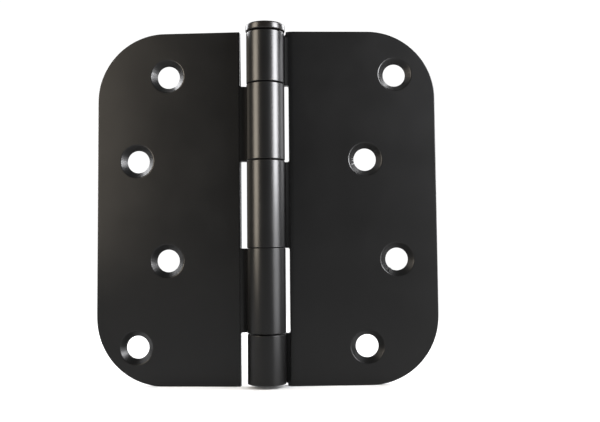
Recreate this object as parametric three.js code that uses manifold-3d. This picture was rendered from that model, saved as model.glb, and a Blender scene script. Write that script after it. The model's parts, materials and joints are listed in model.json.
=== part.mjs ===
// Loose-pin butt hinge for a door, radius corners: two leaves, a pin with a button head, a plug.
// Frame: the pin's axis is Z, with the barrel's bottom face at Z = 0. Seen from -Y the leaf with
// three knuckles is on the right (+X), and the leaf with two is on the left. Millimetres.
import * as THREE from 'three';
import { mergeVertices } from 'three/addons/utils/BufferGeometryUtils.js';
import Module from 'manifold-3d';

// Leaves
const hingeHeight = 101.6;
const leafReach = 49.0; // pin axis to a leaf's outer edge
const sheetThickness = 2.2;
const closedGap = 1.6; // between the two leaves' faces when the hinge is shut
const cornerRadius = 19.5;
const restFold = 5.7; // degrees that the left leaf is folded back from flat

// Barrel
const pinDiameter = 6.35;
const pinClearance = 0.075; // pin to bore, on the radius
const barrelInset = 1.0; // the barrel's ends, inside the leaves' top and bottom edges
const topJoint = 15.8; // the joint under the top knuckle, below the leaves' top edge
const bottomJoint = 15.0; // the joint over the bottom knuckle, above their bottom edge
const middleKnuckle = 24.8;
const middleKnuckleRise = 0.6; // its centre above the leaves' mid-height
const knuckleGap = 0.3; // between the ends of two neighbours
const frameSlotClearance = 1.2; // a knuckle to the cut edge of the frame's leaf
const doorSlotClearance = 2.1; // a knuckle to the cut edge of the door's leaf
const bendClearance = 2.1; // the barrel to the bend where the sheet is set back
const slotRadius = 0.8; // in the corners of the cuts beside the barrel
const seamGap = 0.35; // the rolled edge to the leaf that it comes back to

// Screw holes, countersunk on the faces that meet when the hinge is shut
const holeDiameter = 6.5;
const countersinkDiameter = 9.6;
const countersinkAngle = 82;
const outerHoleInset = 11.55; // from the leaf's outer edge
const innerHoleInset = 20.4;
const endHoleInset = 11.75; // from the leaf's top and bottom edges
const middleHoleSpacing = 28.8; // between the two holes at mid-height
const holePatternDrop = 0.8; // the whole pattern sits this much low on the leaf

// Pin head and knurl
const headOverhang = 0.2; // past the barrel, on the radius
const headHeight = 2.2;
const headRound = 0.8; // of its top edge
const headTaper = 0.35; // how far its lower edge draws in
const headGap = 0.3; // under the head
const tipChamfer = 1.0;
const knurlDepth = 0.05; // the knurled band stands out of the shank by this
const knurlLength = 9;
const knurlStart = 2.5; // below the head
const knurlTeeth = 24;

// Plug
const plugLength = 6;
const plugChamfer = 0.5;
const plugClearance = 0.02;
const pinEndGap = 0.3; // the pin's end above the plug

const roundSteps = 40; // straight steps in a full turn of the barrel and its bore
const filletSteps = 12; // in a quarter turn of an outline's round corner
const overlap = 1; // how far a cutting tool runs past what it cuts

// Values that follow from the sizes above
const pinRadius = pinDiameter / 2;
const boreRadius = pinRadius + pinClearance;
const barrelRadius = boreRadius + sheetThickness;
const leafFront = closedGap / 2;
const leafBack = leafFront + sheetThickness;
const barrelTop = hingeHeight - barrelInset;
const headRadius = barrelRadius + headOverhang;
const endCutEdge = headRadius + headGap; // the end knuckles are cut back as far as this
const midHeight = hingeHeight / 2;
const middleKnuckleCentre = midHeight + middleKnuckleRise;
const knuckleJoints = [
  0,
  bottomJoint,
  middleKnuckleCentre - middleKnuckle / 2,
  middleKnuckleCentre + middleKnuckle / 2,
  hingeHeight - topJoint,
  hingeHeight,
];

const wasm = await Module();
wasm.setup();

// A three.js geometry as a solid that can be joined and cut.
function solid(geometry) {
  const bare = geometry.clone();
  bare.deleteAttribute('normal');
  bare.deleteAttribute('uv');
  const merged = mergeVertices(bare, 1e-5);
  const vertProperties = new Float32Array(merged.attributes.position.array);
  const triVerts = new Uint32Array(merged.index.array);
  return new wasm.Manifold(new wasm.Mesh({ numProp: 3, vertProperties, triVerts }));
}

function geometryOf(body) {
  const { vertProperties, triVerts } = body.getMesh();
  const geometry = new THREE.BufferGeometry();
  geometry.setAttribute('position', new THREE.BufferAttribute(vertProperties, 3));
  geometry.setIndex(new THREE.BufferAttribute(triVerts, 1));
  geometry.computeVertexNormals();
  return geometry;
}

// An outline in X and Y, made into a prism from bottom to top. An arc gets two steps for each of
// its curve segments.
function uprightPrism(shape, bottom, top) {
  const options = { depth: top - bottom, bevelEnabled: false, curveSegments: roundSteps / 2 };
  return solid(new THREE.ExtrudeGeometry(shape, options).translate(0, 0, bottom));
}

// An outline in X and Z, made into a prism that runs through everything from front to back.
function throughPrism(shape) {
  const depth = 4 * (barrelRadius + overlap);
  const options = { depth, bevelEnabled: false, curveSegments: filletSteps / 2 };
  const geometry = new THREE.ExtrudeGeometry(shape, options);
  return solid(geometry.rotateX(Math.PI / 2).translate(0, depth / 2, 0));
}

// A closed profile of [radius, height] pairs turned about the pin's axis.
function turned(profile) {
  const points = profile.map(([radius, height]) => new THREE.Vector2(radius, height));
  return solid(new THREE.LatheGeometry(points, roundSteps).rotateX(Math.PI / 2));
}

// The edge of the sheet seen from above: flat, then set back past the barrel and rolled round the
// pin from behind, until its end almost meets the front of the leaf again.
function sheetSection() {
  const middle = (leafFront + leafBack) / 2;
  const rollRadius = (boreRadius + barrelRadius) / 2;
  const bend = new THREE.Vector2(barrelRadius + bendClearance, middle);
  const tangent = bend.angle() + Math.acos(rollRadius / bend.length());
  const flatMeets = (radius, face) => (radius - face * Math.sin(tangent)) / Math.cos(tangent);
  const seamAngle = tangent - Math.acos(boreRadius / barrelRadius) - seamGap / barrelRadius;
  const end = seamAngle + 2 * Math.PI;
  const section = new THREE.Shape();
  section.moveTo(leafReach + overlap, leafBack);
  section.lineTo(flatMeets(barrelRadius, leafBack), leafBack);
  section.absarc(0, 0, barrelRadius, tangent, end, false);
  section.absarc(0, 0, boreRadius, end, tangent, true);
  section.lineTo(flatMeets(boreRadius, leafFront), leafFront);
  section.lineTo(leafReach + overlap, leafFront);
  section.closePath();
  return section;
}

// The blank seen from the front, wide enough on the left to hold the rolled knuckles.
function leafOutline() {
  const left = -(barrelRadius + overlap);
  const outline = new THREE.Shape();
  outline.moveTo(left, 0);
  outline.lineTo(leafReach - cornerRadius, 0);
  outline.absarc(leafReach - cornerRadius, cornerRadius, cornerRadius, -Math.PI / 2, 0, false);
  const topCentre = hingeHeight - cornerRadius;
  outline.absarc(leafReach - cornerRadius, topCentre, cornerRadius, 0, Math.PI / 2, false);
  outline.lineTo(left, hingeHeight);
  outline.closePath();
  return outline;
}

// A cut from the barrel's side as far as slotEdge, rounded in the corners where the sheet stays.
function slotOutline(slotEdge, low, high) {
  const left = -(barrelRadius + 2 * overlap);
  const turn = slotEdge - slotRadius;
  const slot = new THREE.Shape();
  if (low > 0) {
    slot.moveTo(left, low);
    slot.lineTo(turn, low);
    slot.absarc(turn, low + slotRadius, slotRadius, -Math.PI / 2, 0, false);
  } else {
    slot.moveTo(left, -overlap);
    slot.lineTo(slotEdge, -overlap);
  }
  if (high < hingeHeight) {
    slot.absarc(turn, high - slotRadius, slotRadius, 0, Math.PI / 2, false);
    slot.lineTo(left, high);
  } else {
    slot.lineTo(slotEdge, hingeHeight + overlap);
    slot.lineTo(left, hingeHeight + overlap);
  }
  slot.closePath();
  return slot;
}

// One countersunk hole's tool: a shank right through and a cone that opens to the front face.
function holeTool(reach, height) {
  const shank = holeDiameter / 2;
  const rim = countersinkDiameter / 2;
  const slope = 1 / Math.tan(THREE.MathUtils.degToRad(countersinkAngle / 2));
  const coneDepth = (rim - shank) * slope;
  const profile = [
    [0, -overlap],
    [shank, -overlap],
    [shank, sheetThickness - coneDepth],
    [rim, sheetThickness],
    [rim + overlap / slope, sheetThickness + overlap],
    [0, sheetThickness + overlap],
  ];
  const tool = turned(profile).rotate([90, 0, 0]);
  return tool.translate([reach, leafBack, height]);
}

// A leaf on the +X side. firstKnuckle is 0 when it has the bottom knuckle and 1 when it has not,
// and outerFirst says that its bottom and third holes are the ones further from the barrel.
function leaf(firstKnuckle, slotClearance, outerFirst) {
  let body = uprightPrism(sheetSection(), 0, hingeHeight);
  body = body.intersect(throughPrism(leafOutline()));
  body = body.subtract(throughPrism(slotOutline(endCutEdge, 0, barrelInset)));
  body = body.subtract(throughPrism(slotOutline(endCutEdge, barrelTop, hingeHeight)));
  const slotEdge = barrelRadius + slotClearance;
  const knuckles = knuckleJoints.length - 1;
  for (let other = 1 - firstKnuckle; other < knuckles; other += 2) {
    const low = other === 0 ? 0 : knuckleJoints[other] - knuckleGap / 2;
    const last = other === knuckles - 1;
    const high = last ? hingeHeight : knuckleJoints[other + 1] + knuckleGap / 2;
    body = body.subtract(throughPrism(slotOutline(slotEdge, low, high)));
  }
  const holeHeights = [
    endHoleInset,
    midHeight - middleHoleSpacing / 2,
    midHeight + middleHoleSpacing / 2,
    hingeHeight - endHoleInset,
  ];
  holeHeights.forEach((height, index) => {
    const outer = (index % 2 === 0) === outerFirst;
    const reach = leafReach - (outer ? outerHoleInset : innerHoleInset);
    body = body.subtract(holeTool(reach, height - holePatternDrop));
  });
  return body;
}

// The head's underside is at head height 0, and the shank hangs below it.
function pin() {
  const shankLength = barrelTop - barrelInset + headGap - plugLength - pinEndGap;
  const profile = [
    [0, -shankLength],
    [pinRadius - tipChamfer, -shankLength],
    [pinRadius, tipChamfer - shankLength],
    [pinRadius, 0],
    [headRadius - headTaper, 0],
    [headRadius, headTaper],
  ];
  for (let step = 0; step <= filletSteps; step += 1) {
    const turn = (step / filletSteps) * (Math.PI / 2);
    const radius = headRadius - headRound * (1 - Math.cos(turn));
    profile.push([radius, headHeight - headRound * (1 - Math.sin(turn))]);
  }
  profile.push([0, headHeight]);
  const knurl = new THREE.Shape();
  for (let step = 0; step < 2 * knurlTeeth; step += 1) {
    const turn = (step / knurlTeeth) * Math.PI;
    const radius = pinRadius + (step % 2 === 0 ? knurlDepth : -knurlDepth);
    const point = [radius * Math.cos(turn), radius * Math.sin(turn)];
    if (step === 0) knurl.moveTo(...point);
    else knurl.lineTo(...point);
  }
  knurl.closePath();
  const band = uprightPrism(knurl, -knurlStart - knurlLength, -knurlStart);
  return turned(profile).add(band).translate([0, 0, barrelTop + headGap]);
}

function plug() {
  const radius = boreRadius - plugClearance;
  return turned([
    [0, 0],
    [radius, 0],
    [radius, plugLength - plugChamfer],
    [radius - plugChamfer, plugLength],
    [0, plugLength],
  ]).translate([0, 0, barrelInset]);
}

// Satin black finish, a little browner on the pin and the plug than on the leaves.
const leafBlack = { color: 0x262627, roughness: 0.55, metalness: 0.6 };
const pinBlack = { color: 0x2c2926, roughness: 0.42, metalness: 0.7 };

function piece(name, body, finish) {
  const mesh = new THREE.Mesh(geometryOf(body), new THREE.MeshStandardMaterial(finish));
  mesh.name = name;
  return mesh;
}

// Heights above are from the leaves' bottom edges. The barrel's bottom face comes to Z = 0.
const hinge = new THREE.Group();
hinge.position.z = -barrelInset;
hinge.add(piece('frame_leaf', leaf(0, frameSlotClearance, false), leafBlack));
hinge.add(piece('hinge_pin', pin(), pinBlack));
hinge.add(piece('bottom_plug', plug(), pinBlack));

// The left leaf is made on the +X side too, turned over to the other side, and folded back.
const folded = new THREE.Group();
folded.rotation.z = -THREE.MathUtils.degToRad(restFold);
folded.add(piece('door_leaf', leaf(1, doorSlotClearance, true).mirror([1, 0, 0]), leafBlack));
hinge.add(folded);

export default hinge;
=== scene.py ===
import json
import math
from typing import NamedTuple

import bmesh
import bpy
from bpy.props import FloatProperty, FloatVectorProperty, PointerProperty
from mathutils import Euler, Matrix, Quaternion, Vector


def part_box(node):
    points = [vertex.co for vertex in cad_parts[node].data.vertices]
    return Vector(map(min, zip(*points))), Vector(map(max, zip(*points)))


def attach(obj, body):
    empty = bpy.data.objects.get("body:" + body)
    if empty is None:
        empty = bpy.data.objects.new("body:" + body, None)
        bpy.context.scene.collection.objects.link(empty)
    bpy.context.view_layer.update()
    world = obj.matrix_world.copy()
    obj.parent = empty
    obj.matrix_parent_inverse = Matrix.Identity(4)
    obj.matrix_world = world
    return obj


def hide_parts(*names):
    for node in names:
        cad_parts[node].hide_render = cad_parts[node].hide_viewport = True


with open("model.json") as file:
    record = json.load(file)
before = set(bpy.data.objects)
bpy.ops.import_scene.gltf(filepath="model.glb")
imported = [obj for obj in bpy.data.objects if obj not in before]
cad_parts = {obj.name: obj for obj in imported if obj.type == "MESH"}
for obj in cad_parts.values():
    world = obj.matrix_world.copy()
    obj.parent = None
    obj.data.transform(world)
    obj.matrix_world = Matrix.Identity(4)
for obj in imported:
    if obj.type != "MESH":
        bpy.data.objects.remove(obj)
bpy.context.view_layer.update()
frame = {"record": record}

bl_info = {
    "name": "Loose-pin door hinge",
    "version": (1, 0, 0),
    "blender": (4, 5, 0),
    "location": "3D View > Sidebar > Hinge",
    "description": "Models a satin black butt hinge around its packed frame",
    "category": "Add Mesh",
}

MM = 0.001
MOUNTS = {mount["name"]: mount for mount in frame["record"]["mounts"]}
OPENINGS = frame["record"]["physics"]["openings"]
LEAF_LOW, LEAF_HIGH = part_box("frame_leaf")
PIN_LOW, PIN_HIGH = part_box("hinge_pin")
PLUG_LOW, PLUG_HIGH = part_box("bottom_plug")
FOOT, TOP = LEAF_LOW.z, LEAF_HIGH.z
MIDDLE = (FOOT + TOP) / 2
REACH = LEAF_HIGH.x
# The barrel's bottom face is at Z = 0, and it stops as far short of the leaves' top edges.
BARREL_TOP = TOP + FOOT
LEAF_BACK = MOUNTS["frame_leaf_back"]["pos_m"][1]
# How far the door's leaf is folded back from flat, read from the direction its back face looks.
FOLD = math.atan2(*MOUNTS["door_leaf_back"]["axis"][:2])

# Straight steps in a full turn of the pin, the plug and the drills, and in a rolled edge.
TURN_STEPS = 96
ROLL_STEPS = 88
# Steps in what is rounded: bend, leaf corner, slot corner, sheet edge, then the turned rims.
BEND_STEPS = 6
CORNER_STEPS = 32
SLOT_STEPS = 8
EDGE_STEPS = 3
CROWN_STEPS = 8
TAPER_STEPS = 4
TIP_STEPS = 2
PLUG_FOOT_STEPS = 3
PLUG_TOP_STEPS = 2
# Rings that the head's top rises in.
CROWN_RINGS = 6
# One side face in this many becomes a tooth of the knurl.
KNURL_EVERY = 4
# The joint under the middle knuckle, counted up from the leaves' foot, which is 0.
CARRYING_JOINT = 2

# How far a tool runs past the sheet, past the barrel and past the leaf's ends.
SPARE = 1 * MM
BARREL_SPARE = 3 * MM
END_SPARE = 5 * MM
# The whole depth of a block that cuts right through a rolled sheet.
TOOL_DEPTH = 50 * MM
# The slope of an 82 degree countersink, and how far inside the hole its cone starts.
COUNTERSINK_SLOPE = math.tan(math.radians(82 / 2))
CONE_INSET = 0.3 * MM
# How close a point must lie to count as in place, and how close two must lie to be welded.
NEAR = 0.02 * MM
WELD = 0.0001 * MM
# A face is level when its normal's Z is beyond this, up or down.
LEVEL = 0.999
# Edges sharper than the first angle are rounded, and flatter than the second are smoothed.
SHARP_ANGLE = math.radians(45)
SMOOTH_ANGLE = math.radians(35)
# How strongly the larger faces hold the normals beside them, in per cent (50 is neutral).
SHEET_WEIGHT = 60
TURNED_WEIGHT = 50


def linear(hex_colour):
    """A colour written as sRGB hex digits, as the linear values that shaders and lights take."""
    parts = [int(hex_colour[i:i + 2], 16) / 255 for i in (0, 2, 4)]
    return [p / 12.92 if p <= 0.04045 else ((p + 0.055) / 1.055) ** 2.4 for p in parts]


def length(name, millimetres, description):
    """A length property whose default is given in millimetres."""
    return FloatProperty(
        name=name, description=description, default=millimetres * MM, unit="LENGTH", precision=5
    )


def colour(name, hex_colour, description):
    return FloatVectorProperty(
        name=name, description=description, default=linear(hex_colour), subtype="COLOR",
        size=3, min=0, max=1,
    )


class HINGE_PG_leaf(bpy.types.PropertyGroup):
    sheet: length("Sheet", 2.2, "Thickness of the steel that the leaves are pressed from")
    corner: length("Corner radius", 19.5, "Radius of the leaves' outer corners")
    bore: length("Bore radius", 3.25, "Inside radius of the rolled knuckles")
    frame_slot: length("Frame slot", 1.2, "From a knuckle to the cut edge of the frame's leaf")
    door_slot: length("Door slot", 2.1, "From a knuckle to the cut edge of the door's leaf")
    slot_round: length("Slot corner", 0.5, "Radius in the corners of the cuts beside the barrel")
    bend_clearance: length("Bend clearance", 2.1, "From the barrel to where the sheet is set back")
    head_gap: length("Head gap", 0.3, "Under and beside the pin's head")
    seam: length("Seam", 0.35, "From the rolled edge to the leaf that it comes back to")
    gap: length("Knuckle gap", 0.28, "Between the ends of two neighbouring knuckles")
    carrying_gap: length("Carrying gap", 0.06, "At the joint that carries the weight")
    top_joint: length("Top joint", 15.8, "Joint under the top knuckle, below the top edge")
    bottom_joint: length("Bottom joint", 15.0, "Joint over the bottom knuckle, above the foot")
    middle_knuckle: length("Middle knuckle", 24.8, "Length of the middle knuckle")
    rise: length("Middle rise", 0.6, "Middle knuckle's centre above the leaves' mid-height")
    bend: length("Bend radius", 3.5, "Radius of the bend where the sheet is set back")
    hole: length("Hole radius", 3.25, "Radius of a screw hole")
    rim: length("Rim radius", 4.8, "Radius of a countersink at the leaf's face")
    edge: length("Edge round", 0.22, "Radius that pressing and coating leave on every edge")


class HINGE_PG_pin(bpy.types.PropertyGroup):
    shank: length("Shank radius", 3.175, "Radius of the pin inside the barrel")
    head: length("Head height", 2.2, "Height of the button head")
    crown: length("Crown round", 0.5, "Radius round the head's top edge")
    taper: length("Lower round", 0.4, "Radius round the head's lower edge")
    dome: length("Dome", 0.12, "Rise of the head's top from its edge to its middle")
    tip: length("Tip chamfer", 1.0, "Chamfer on the pin's lower end")
    knurl_start: length("Knurl start", 2.5, "From the head down to the knurled band")
    knurl_length: length("Knurl length", 9.0, "Length of the knurled band")
    knurl_depth: length("Knurl depth", 0.05, "How far the band's teeth stand out")
    plug_chamfer: length("Plug chamfer", 0.3, "Chamfer round the plug's lower edge")


class HINGE_PG_finish(bpy.types.PropertyGroup):
    coat_dark: colour("Coat, dark", "080808", "Darker tone of the black coating")
    coat_light: colour("Coat, light", "0b0b0b", "Lighter tone of the black coating")
    pin_dark: colour("Pin, dark", "0c0a09", "Darker tone of the pin's finish")
    pin_light: colour("Pin, light", "0f0d0b", "Lighter tone of the pin's finish")
    floor: colour("Floor", "fafafa", "Floor and backdrop")
    key_light: colour("Key light", "fcfcff", "Softbox on the right")
    fill_light: colour("Fill light", "fff2df", "Softbox on the left")


# Modelling by operators


def begin(kind, **settings):
    """Adds one primitive with nothing else selected, and leaves it in edit mode."""
    bpy.ops.object.select_all(action="DESELECT")
    getattr(bpy.ops.mesh, f"primitive_{kind}_add")(enter_editmode=True, **settings)
    bpy.ops.mesh.select_mode(type="VERT")
    return bpy.context.object


def pick(test, kind="faces"):
    """Selects, in edit mode, just the faces, edges or vertices that pass a test."""
    modes = {"verts": "VERT", "edges": "EDGE", "faces": "FACE"}
    bpy.ops.mesh.select_mode(type=modes[kind])
    bpy.ops.mesh.select_all(action="DESELECT")
    mesh = bpy.context.object.data
    editable = bmesh.from_edit_mesh(mesh)
    chosen = [item for item in getattr(editable, kind) if test(item)]
    for item in chosen:
        item.select_set(True)
    editable.select_flush_mode()
    bmesh.update_edit_mesh(mesh)
    if not chosen:
        raise RuntimeError(f"{bpy.context.object.name}: no {kind} found to select")


def extrude_by(x=0.0, y=0.0, z=0.0):
    bpy.ops.mesh.extrude_region_move(TRANSFORM_OT_translate={"value": (x, y, z)})


def round_off(radius, steps, affect="EDGES"):
    """Rounds the selected edges, or the corner at a selected point of a line."""
    bpy.ops.mesh.bevel(offset=radius, segments=steps, affect=affect)


def activate(piece):
    """Makes one piece the only selected one, for the operators that follow."""
    bpy.ops.object.select_all(action="DESELECT")
    piece.select_set(True)
    bpy.context.view_layer.objects.active = piece


def settle(piece, name):
    """Ends edit mode, names the piece and puts its place into its mesh."""
    bpy.ops.object.mode_set(mode="OBJECT")
    piece.name = name
    piece.data.name = name
    activate(piece)
    bpy.ops.object.transform_apply(location=True, rotation=True, scale=True)
    return piece


def modify(piece, kind, **settings):
    """Adds one modifier to a piece and applies it."""
    activate(piece)
    modifier = piece.modifiers.new(kind.title(), kind)
    for name, value in settings.items():
        setattr(modifier, name, value)
    bpy.ops.object.modifier_apply(modifier=modifier.name)


def cut(piece, tool, operation="DIFFERENCE"):
    """Cuts a piece with a tool, or keeps what is inside the tool, and throws the tool away."""
    modify(piece, "BOOLEAN", object=tool, operation=operation, solver="EXACT")
    mesh = tool.data
    bpy.data.objects.remove(tool)
    bpy.data.meshes.remove(mesh)


def smooth(piece, weight):
    """Smooths what is round and keeps flat faces flat."""
    bpy.ops.object.mode_set(mode="OBJECT")
    bpy.ops.object.shade_smooth_by_angle(angle=SMOOTH_ANGLE)
    modify(piece, "WEIGHTED_NORMAL", mode="FACE_AREA", weight=weight, keep_sharp=True)


def finish_sheet(piece, radius):
    """Rounds every sharp edge of a leaf, then smooths it."""
    modify(
        piece, "BEVEL", width=radius, segments=EDGE_STEPS, limit_method="ANGLE",
        angle_limit=SHARP_ANGLE, use_clamp_overlap=False, miter_outer="MITER_ARC",
    )
    smooth(piece, SHEET_WEIGHT)


def cover(piece, node, body, material):
    """Hands a finished piece to the frame in place of its plain solid."""
    piece.data.materials.clear()
    piece.data.materials.append(material)
    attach(piece, body)
    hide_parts(node)


# The leaves


def knuckle_joints(sizes):
    """Heights of the joints between the knuckles, with the leaves' two ends."""
    centre = MIDDLE + sizes.rise
    half = sizes.middle_knuckle / 2
    return [
        FOOT, FOOT + sizes.bottom_joint, centre - half, centre + half, TOP - sizes.top_joint, TOP
    ]


def joint_gap(joint, sizes):
    """The middle knuckle rests on the one below it, so that joint is all but closed."""
    return sizes.carrying_gap if joint == CARRYING_JOINT else sizes.gap


def rolled_sheet(sizes):
    """The leaf's sheet as a long strip: flat, set back behind the barrel, rolled round the pin."""
    middle = LEAF_BACK - sizes.sheet / 2
    roll = sizes.bore + sizes.sheet / 2
    outer = sizes.bore + sizes.sheet
    bend_x = outer + sizes.bend_clearance
    reach = math.hypot(bend_x, middle)
    # Angles round the pin at which the roll leaves the straight sheet and comes back to it.
    tangent = math.atan2(middle, bend_x) + math.acos(roll / reach)
    seam = tangent - math.acos(sizes.bore / outer) - sizes.seam / outer
    touch_x, touch_y = roll * math.cos(tangent), roll * math.sin(tangent)
    turn = seam + 2 * math.pi - tangent
    # One point at the outer edge is drawn inwards along the middle of the sheet.
    sheet = begin("plane", location=(0, 0, 0))
    bpy.ops.mesh.merge(type="CENTER")
    bpy.ops.transform.translate(value=(REACH + SPARE, middle, FOOT - SPARE))
    extrude_by(x=bend_x - REACH - SPARE)
    extrude_by(x=touch_x - bend_x, y=touch_y - middle)
    bpy.ops.mesh.spin(
        steps=ROLL_STEPS, angle=-turn, center=(0, 0, 0), axis=(0, 0, 1), dupli=False
    )
    pick(lambda v: abs(v.co.x - bend_x) < NEAR and abs(v.co.y - middle) < NEAR, "verts")
    round_off(sizes.bend * math.tan((math.pi / 2 - tangent) / 2), BEND_STEPS, "VERTICES")
    # The line becomes a strip as tall as the leaf, and the strip gets its thickness.
    bpy.ops.mesh.select_all(action="SELECT")
    extrude_by(z=TOP - FOOT + 2 * SPARE)
    bpy.ops.mesh.select_all(action="SELECT")
    bpy.ops.mesh.normals_make_consistent(inside=False)
    settle(sheet, "rolled_sheet")
    modify(
        sheet, "SOLIDIFY", thickness=sizes.sheet, offset=0.0, use_even_offset=True,
        use_quality_normals=True,
    )
    return sheet


def rounded_block(left, right, low, high, radius, steps):
    """A tool right through the sheet, with its two corners on the right rounded."""
    block = begin("cube", size=1, location=((left + right) / 2, 0, (low + high) / 2))
    bpy.ops.transform.resize(value=(right - left, TOOL_DEPTH, high - low))
    # The two edges on the right that run through the sheet.
    pick(
        lambda e: all(v.co.x > 0 for v in e.verts) and e.verts[0].co.z * e.verts[1].co.z > 0,
        "edges",
    )
    round_off(radius, steps)
    return settle(block, "rounded_block")


def hole_tools(sizes, x, z):
    """A drill through the sheet, and a cone that opens the hole out at the leaf's face."""
    front = LEAF_BACK - sizes.sheet
    drill = begin(
        "cylinder", vertices=TURN_STEPS, radius=sizes.hole, depth=sizes.sheet + 2 * SPARE,
        location=(x, LEAF_BACK - sizes.sheet / 2, z), rotation=(math.pi / 2, 0, 0),
    )
    settle(drill, "drill")
    wide = sizes.rim + SPARE * COUNTERSINK_SLOPE
    narrow = sizes.hole - CONE_INSET
    depth = (wide - narrow) / COUNTERSINK_SLOPE
    cone = begin(
        "cone", vertices=TURN_STEPS, radius1=narrow, radius2=wide, depth=depth,
        location=(x, front - SPARE + depth / 2, z), rotation=(math.pi / 2, 0, 0),
    )
    settle(cone, "countersink")
    return drill, cone


def hole_places(side):
    """The screw holes' centres on one leaf when it lies flat on the +X side."""
    places = []
    for opening in OPENINGS:
        if opening["name"].startswith(side):
            low, high = opening["box_m"]
            x, y, z = ((a + b) / 2 for a, b in zip(low, high))
            if side == "door":
                # Unfold the leaf and turn it over to the +X side.
                x = -(x * math.cos(FOLD) - y * math.sin(FOLD))
            places.append((x, z))
    return places


def make_leaf(name, side, lowest, slot, sizes):
    """One leaf on the +X side. Its lowest knuckle is the barrel's first, 0, or second, 1."""
    leaf = rolled_sheet(sizes)
    outer = sizes.bore + sizes.sheet
    outline = rounded_block(-(outer + SPARE), REACH, FOOT, TOP, sizes.corner, CORNER_STEPS)
    cut(leaf, outline, "INTERSECT")

    def clear(right, low, high):
        left = -(outer + BARREL_SPARE)
        cut(leaf, rounded_block(left, right, low, high, sizes.slot_round, SLOT_STEPS))

    beside_head = PIN_HIGH.x + sizes.head_gap
    clear(beside_head, FOOT - END_SPARE, 0)
    clear(beside_head, BARREL_TOP, TOP + END_SPARE)
    beside_knuckle = outer + slot
    joints = knuckle_joints(sizes)
    top_knuckle = len(joints) - 2
    # Every second knuckle is the other leaf's, and gets its room.
    for other in range(1 - lowest, top_knuckle + 1, 2):
        low = joints[other] - joint_gap(other, sizes) / 2
        high = joints[other + 1] + joint_gap(other + 1, sizes) / 2
        if other == 0:
            low = FOOT - END_SPARE
        if other == top_knuckle:
            high = TOP + END_SPARE
        clear(beside_knuckle, low, high)
    for x, z in hole_places(side):
        for tool in hole_tools(sizes, x, z):
            cut(leaf, tool)
    leaf.name = name
    leaf.data.name = name
    return leaf


class HINGE_OT_frame_leaf(bpy.types.Operator):
    """Models the leaf with three knuckles, on the right"""

    bl_idname = "hinge.frame_leaf"
    bl_label = "Frame leaf"

    def execute(self, context):
        sizes = context.scene.hinge_leaf
        leaf = make_leaf("frame_leaf_sheet", "frame", 0, sizes.frame_slot, sizes)
        finish_sheet(leaf, sizes.edge)
        cover(leaf, "frame_leaf", "frame_side", coated_steel(context))
        return {"FINISHED"}


class HINGE_OT_door_leaf(bpy.types.Operator):
    """Models the leaf with two knuckles, on the left, folded a little back from flat"""

    bl_idname = "hinge.door_leaf"
    bl_label = "Door leaf"

    def execute(self, context):
        sizes = context.scene.hinge_leaf
        leaf = make_leaf("door_leaf_sheet", "door", 1, sizes.door_slot, sizes)
        activate(leaf)
        bpy.ops.object.mode_set(mode="EDIT")
        bpy.ops.mesh.select_all(action="SELECT")
        bpy.ops.transform.mirror(
            constraint_axis=(True, False, False), center_override=(0, 0, 0)
        )
        bpy.ops.mesh.remove_doubles(threshold=WELD)
        bpy.ops.mesh.normals_make_consistent(inside=False)
        # With no window this operator turns the other way, so the fold back is a positive turn.
        bpy.ops.transform.rotate(value=FOLD, orient_axis="Z", center_override=(0, 0, 0))
        bpy.ops.object.mode_set(mode="OBJECT")
        finish_sheet(leaf, sizes.edge)
        cover(leaf, "door_leaf", "door_side", coated_steel(context))
        return {"FINISHED"}


# The pin and the plug


def turned_bar(name, radius, low, high):
    """A round bar on the hinge's axis between two heights, left in edit mode."""
    bar = begin(
        "cylinder", vertices=TURN_STEPS, radius=radius, depth=high - low,
        location=(0, 0, (low + high) / 2), end_fill_type="NGON",
    )
    settle(bar, name)
    bpy.ops.object.mode_set(mode="EDIT")
    return bar


def round_rim(height, radius, steps):
    """Rounds the rim of a turned bar at one height."""
    pick(lambda e: all(abs(v.co.z - height) < NEAR for v in e.verts), "edges")
    round_off(radius, steps)


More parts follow.
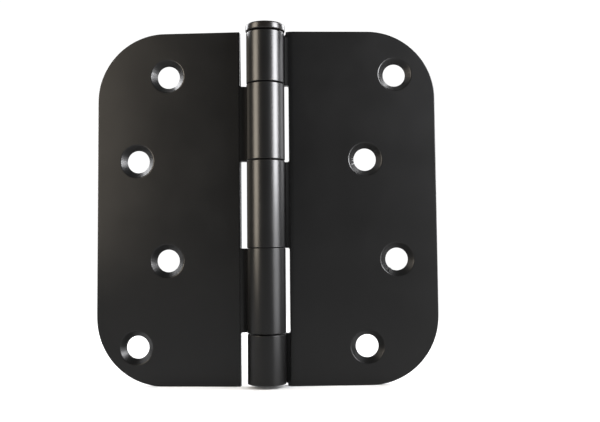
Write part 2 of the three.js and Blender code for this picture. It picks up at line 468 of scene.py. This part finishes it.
class HINGE_OT_pin(bpy.types.Operator):
    """Models the loose pin: button head, knurled band, shank and chamfered tip"""

    bl_idname = "hinge.pin"
    bl_label = "Pin"

    def execute(self, context):
        sizes = context.scene.hinge_pin
        under_head = PIN_HIGH.z - sizes.head
        head_radius = PIN_HIGH.x
        rim = PIN_HIGH.z - sizes.dome
        pin = turned_bar("button_head_pin", head_radius, under_head, rim)
        round_rim(rim, sizes.crown, CROWN_STEPS)
        round_rim(under_head, sizes.taper, TAPER_STEPS)
        # Raise the head's top in rings, each by a parabola's step.
        pick(lambda f: f.normal.z > LEVEL and f.calc_center_median().z > rim - NEAR)
        flat = head_radius - sizes.crown
        for ring in range(1, CROWN_RINGS):
            bpy.ops.mesh.inset(thickness=flat / CROWN_RINGS)
            rise = sizes.dome * (2 * (CROWN_RINGS - ring) + 1) / CROWN_RINGS**2
            bpy.ops.transform.translate(value=(0, 0, rise))
        # Draw the shank down from the underside, a stretch at a time.
        pick(lambda f: f.normal.z < -LEVEL and f.calc_center_median().z < under_head + NEAR)
        bpy.ops.mesh.inset(thickness=head_radius - sizes.taper - sizes.shank)
        below_knurl = under_head - sizes.knurl_start - sizes.knurl_length - PIN_LOW.z
        for stretch in (sizes.knurl_start, sizes.knurl_length, below_knurl):
            extrude_by(z=-stretch)
        round_rim(PIN_LOW.z, sizes.tip, TIP_STEPS)
        self.knurl(sizes, under_head)
        smooth(pin, TURNED_WEIGHT)
        cover(pin, "hinge_pin", "pin", turned_steel(context))
        return {"FINISHED"}

    def knurl(self, sizes, under_head):
        """Raises side faces of the band below the head into teeth, evenly round the pin."""
        middle = under_head - sizes.knurl_start - sizes.knurl_length / 2
        step = 2 * math.pi / TURN_STEPS

        def tooth(face):
            centre = face.calc_center_median()
            count = math.floor((math.atan2(centre.y, centre.x) + math.pi) / step)
            return abs(centre.z - middle) < NEAR and count % KNURL_EVERY == 0

        pick(tooth)
        bpy.ops.mesh.extrude_faces_move(
            TRANSFORM_OT_shrink_fatten={"value": sizes.knurl_depth}
        )


class HINGE_OT_plug(bpy.types.Operator):
    """Models the flush plug in the bottom knuckle"""

    bl_idname = "hinge.plug"
    bl_label = "Bottom plug"

    def execute(self, context):
        sizes = context.scene.hinge_pin
        plug = turned_bar("flush_plug", PLUG_HIGH.x, PLUG_LOW.z, PLUG_HIGH.z)
        round_rim(PLUG_LOW.z, sizes.plug_chamfer, PLUG_FOOT_STEPS)
        round_rim(PLUG_HIGH.z, sizes.plug_chamfer, PLUG_TOP_STEPS)
        smooth(plug, TURNED_WEIGHT)
        cover(plug, "bottom_plug", "frame_side", turned_steel(context))
        return {"FINISHED"}


# Finishes

# Sizes of the coat's orange peel and of its slow changes, in mm, and the peel's height.
PEEL_SIZE = 1.6
PEEL_HEIGHT = 0.02
TONE_SIZE = 14
# How much of their full effect the peel and the grain have.
PEEL_STRENGTH = 0.25
GRAIN_STRENGTH = 0.6
# How far the roughness goes either way with the slow changes.
ROUGHNESS_SWING = 0.05
# The mix node has several inputs of one name, so its factor, colours and result go by number.
MIX_FACTOR, MIX_FIRST, MIX_SECOND, MIX_RESULT = 0, 6, 7, 2
# Painted shade in the floor's reflection: the share of the paper's brightness that reflected rays
# see.
PAPER_MIRRORED = 0.4


def add_node(tree, kind, values=None, links=None, **settings):
    """A node with its settings, its input values and the outputs that feed it."""
    node = tree.nodes.new(kind)
    for name, value in settings.items():
        setattr(node, name, value)
    for name, value in (values or {}).items():
        node.inputs[name].default_value = value
    for name, output in (links or {}).items():
        tree.links.new(output, node.inputs[name])
    return node


def new_material(name):
    """A material with an empty node tree."""
    material = bpy.data.materials.new(name)
    material.use_nodes = True
    material.node_tree.nodes.clear()
    return material


def noise(tree, place, size, detail, roughness):
    """A procedural noise whose size is in millimetres."""
    return add_node(
        tree, "ShaderNodeTexNoise",
        {"Scale": 1 / (size * MM), "Detail": detail, "Roughness": roughness}, {"Vector": place},
    ).outputs["Fac"]


def mix_colours(tree, first, second, factor):
    """Goes from one colour to another as the factor goes from 0 to 1."""
    return add_node(
        tree, "ShaderNodeMix", {MIX_FIRST: (*first, 1), MIX_SECOND: (*second, 1)},
        {MIX_FACTOR: factor}, data_type="RGBA",
    ).outputs[MIX_RESULT]


def coating(name, dark, light, roughness, grain, stretch, depth):
    """Satin black over steel: a fine grain whose size and depth are in millimetres, drawn out
    by stretch along the sheet, over orange peel and slow changes of tone and gloss."""
    found = bpy.data.materials.get(name)
    if found:
        return found
    material = new_material(name)
    tree = material.node_tree
    place = add_node(tree, "ShaderNodeTexCoord").outputs["Object"]
    drawn = add_node(
        tree, "ShaderNodeMapping", {"Scale": (1 / stretch, 1 / stretch, 1)}, {"Vector": place}
    ).outputs["Vector"]
    fine = noise(tree, drawn, size=grain, detail=3.0, roughness=0.6)
    peel = noise(tree, place, size=PEEL_SIZE, detail=2.0, roughness=0.5)
    slow = noise(tree, place, size=TONE_SIZE, detail=4.0, roughness=0.6)
    tone = mix_colours(tree, dark, light, slow)
    gloss = add_node(
        tree, "ShaderNodeMapRange",
        {"To Min": roughness - ROUGHNESS_SWING, "To Max": roughness + ROUGHNESS_SWING},
        {"Value": slow},
    ).outputs["Result"]
    peel_bump = add_node(
        tree, "ShaderNodeBump", {"Strength": PEEL_STRENGTH, "Distance": PEEL_HEIGHT * MM},
        {"Height": peel},
    ).outputs["Normal"]
    bump = add_node(
        tree, "ShaderNodeBump", {"Strength": GRAIN_STRENGTH, "Distance": depth * MM},
        {"Height": fine, "Normal": peel_bump},
    ).outputs["Normal"]
    shader = add_node(
        tree, "ShaderNodeBsdfPrincipled",
        {"Metallic": 0.0, "IOR": 1.5, "Specular IOR Level": 0.5},
        {"Base Color": tone, "Roughness": gloss, "Normal": bump},
    ).outputs["BSDF"]
    add_node(tree, "ShaderNodeOutputMaterial", links={"Surface": shader})
    return material


def coated_steel(context):
    """Electrocoated steel sheet: thin black paint that still shows the sheet's rolled grain.
    The grain is drawn about twice as coarse as it is, so that it can be seen."""
    colours = context.scene.hinge_finish
    return coating(
        "satin black electrocoated steel sheet", colours.coat_dark, colours.coat_light,
        roughness=0.3, grain=0.45, stretch=5, depth=0.012,
    )


def turned_steel(context):
    """The same coating over turned steel: rings round the axis, and a little more gloss."""
    colours = context.scene.hinge_finish
    return coating(
        "satin black electrocoated turned steel", colours.pin_dark, colours.pin_light,
        roughness=0.28, grain=0.18, stretch=8, depth=0.005,
    )


def paper(white):
    """Matt white paper, which the hinge mirrors darker than it is: reflected rays see it through
    painted shade.
    """
    material = new_material("matt white paper floor")
    tree = material.node_tree
    mirrored = add_node(tree, "ShaderNodeLightPath").outputs["Is Glossy Ray"]
    # Painted shade: reflected rays see the floor darker than its own white.
    painted_mirror_shade = [channel * PAPER_MIRRORED for channel in white]
    shader = add_node(
        tree, "ShaderNodeBsdfPrincipled", {"Roughness": 0.9, "Specular IOR Level": 0.1},
        {"Base Color": mix_colours(tree, white, painted_mirror_shade, mirrored)},
    ).outputs["BSDF"]
    add_node(tree, "ShaderNodeOutputMaterial", links={"Surface": shader})
    return material


# The stage


class Softbox(NamedTuple):
    """A rectangular light: its place, the point it faces and its size in metres, its power in
    watts, the spread of its beam in degrees, and the name of its colour."""

    name: str
    place: tuple
    aim: tuple
    size: tuple
    power: float
    spread: float
    tint: str


SOFTBOXES = (
    Softbox(
        "key_softbox", place=(0.13, -0.072, 0.12), aim=(0, 0, 0.1), size=(0.08, 0.11),
        power=0.147, spread=75, tint="key_light",
    ),
    Softbox(
        "low_softbox", place=(0.13, -0.072, 0.032), aim=(0, 0, 0.032), size=(0.1, 0.06),
        power=0.037, spread=120, tint="key_light",
    ),
    Softbox(
        "fill_softbox", place=(-0.1, -0.058, 0.1), aim=(0, 0, 0.08), size=(0.06, 0.13),
        power=0.041, spread=75, tint="fill_light",
    ),
    Softbox(
        "back_softbox", place=(-0.24, 0.22, 0.2), aim=(0, 0, MIDDLE), size=(0.12, 0.3),
        power=0.4, spread=110, tint="key_light",
    ),
    Softbox(
        "back_softbox", place=(0.24, 0.22, 0.2), aim=(0, 0, MIDDLE), size=(0.12, 0.3),
        power=0.4, spread=110, tint="key_light",
    ),
)
FLOOR_SIZE = 6.0
# How bright the surroundings are to the camera and to matt surfaces.
WORLD_SEEN = 1.05
WORLD_LIGHT = 1.12
# How bright they are where they are mirrored, before the hinge and behind it. The change
# between the two comes where a direction's Y goes from the first edge to the second.
ROOM_MIRRORED = 0.05
BACKDROP_MIRRORED = 0.5
ROOM_EDGE = 0.15
BACKDROP_EDGE = 0.5
# The lens and the sensor's width in millimetres, and the camera's place and angles.
LENS = 48
SENSOR = 36
CAMERA_PLACE = (0.9 * MM, -227.1 * MM, FOOT + 36 * MM)
TILT = math.radians(3.39)
ROLL = math.radians(-0.51)
PAN = math.radians(2.2)
NEAR_CLIP = 0.01


def add_softbox(box, light_colour):
    """Sets up one softbox, turned to face its aim."""
    data = bpy.data.lights.new(box.name, "AREA")
    data.shape = "RECTANGLE"
    data.size, data.size_y = box.size
    data.energy = box.power
    data.color = light_colour
    data.spread = math.radians(box.spread)
    light = bpy.data.objects.new(box.name, data)
    bpy.context.scene.collection.objects.link(light)
    light.location = box.place
    x, y, z = (a - p for a, p in zip(box.aim, box.place))
    light.rotation_euler = (
        math.pi / 2 + math.atan2(z, math.hypot(x, y)), 0, math.atan2(y, x) - math.pi / 2
    )


class HINGE_OT_stage(bpy.types.Operator):
    """Sets a plain pale floor and backdrop, soft studio lights and the camera"""

    bl_idname = "hinge.stage"
    bl_label = "Stage"

    def execute(self, context):
        colours = context.scene.hinge_finish
        floor = begin("plane", size=FLOOR_SIZE, location=(0, 0, FOOT))
        settle(floor, "floor")
        floor.data.materials.append(paper(colours.floor))
        for box in SOFTBOXES:
            add_softbox(box, getattr(colours, box.tint))
        self.world(context)
        self.camera(context)
        context.scene.view_settings.view_transform = "Standard"
        return {"FINISHED"}

    def world(self, context):
        """White behind the hinge and over the floor. The hinge mirrors a dark room before it
        and the backdrop behind it at about half its brightness."""
        world = bpy.data.worlds.new("studio")
        context.scene.world = world
        world.use_nodes = True
        tree = world.node_tree
        tree.nodes.clear()
        place = add_node(tree, "ShaderNodeTexCoord").outputs["Generated"]
        behind = add_node(tree, "ShaderNodeSeparateXYZ", links={"Vector": place}).outputs["Y"]
        mirrored = add_node(
            tree, "ShaderNodeMapRange",
            {
                "From Min": ROOM_EDGE, "From Max": BACKDROP_EDGE,
                "To Min": ROOM_MIRRORED, "To Max": BACKDROP_MIRRORED,
            },
            {"Value": behind},
        ).outputs["Result"]
        path = add_node(tree, "ShaderNodeLightPath").outputs
        lit = add_node(
            tree, "ShaderNodeMapRange", {"To Min": WORLD_LIGHT},
            {"Value": path["Is Glossy Ray"], "To Max": mirrored},
        ).outputs["Result"]
        strength = add_node(
            tree, "ShaderNodeMapRange", {"To Max": WORLD_SEEN},
            {"Value": path["Is Camera Ray"], "To Min": lit},
        ).outputs["Result"]
        surface = add_node(
            tree, "ShaderNodeBackground", {"Color": (1, 1, 1, 1)}, {"Strength": strength}
        ).outputs["Background"]
        add_node(tree, "ShaderNodeOutputWorld", links={"Surface": surface})

    def camera(self, context):
        """A camera before the hinge and a third of the way up it, looking slightly up."""
        data = bpy.data.cameras.new("camera")
        data.lens = LENS
        data.sensor_width = SENSOR
        data.clip_start = NEAR_CLIP
        camera = bpy.data.objects.new("camera", data)
        context.scene.collection.objects.link(camera)
        camera.location = CAMERA_PLACE
        aim = Euler((math.pi / 2 + TILT, 0, -PAN)).to_quaternion()
        camera.rotation_euler = (aim @ Quaternion((0, 0, 1), ROLL)).to_euler()
        context.scene.camera = camera


class HINGE_PT_panel(bpy.types.Panel):
    bl_idname = "HINGE_PT_panel"
    bl_label = "Door hinge"
    bl_space_type = "VIEW_3D"
    bl_region_type = "UI"
    bl_category = "Hinge"

    def draw(self, context):
        layout = self.layout
        for operator in OPERATORS:
            layout.operator(operator.bl_idname)
        for group in GROUPS:
            settings = getattr(context.scene, group)
            for name in settings.bl_rna.properties.keys():
                if name not in {"rna_type", "name"}:
                    layout.prop(settings, name)


GROUPS = {
    "hinge_leaf": HINGE_PG_leaf,
    "hinge_pin": HINGE_PG_pin,
    "hinge_finish": HINGE_PG_finish,
}
OPERATORS = (
    HINGE_OT_frame_leaf,
    HINGE_OT_door_leaf,
    HINGE_OT_pin,
    HINGE_OT_plug,
    HINGE_OT_stage,
)


def register():
    for group, kind in GROUPS.items():
        bpy.utils.register_class(kind)
        setattr(bpy.types.Scene, group, PointerProperty(type=kind))
    for operator in OPERATORS:
        bpy.utils.register_class(operator)
    bpy.utils.register_class(HINGE_PT_panel)


def unregister():
    bpy.utils.unregister_class(HINGE_PT_panel)
    for operator in reversed(OPERATORS):
        bpy.utils.unregister_class(operator)
    for group, kind in GROUPS.items():
        delattr(bpy.types.Scene, group)
        bpy.utils.unregister_class(kind)


def main():
    register()
    bpy.ops.hinge.frame_leaf()
    bpy.ops.hinge.door_leaf()
    bpy.ops.hinge.pin()
    bpy.ops.hinge.plug()
    bpy.ops.hinge.stage()


if __name__ == "__main__":
    main()
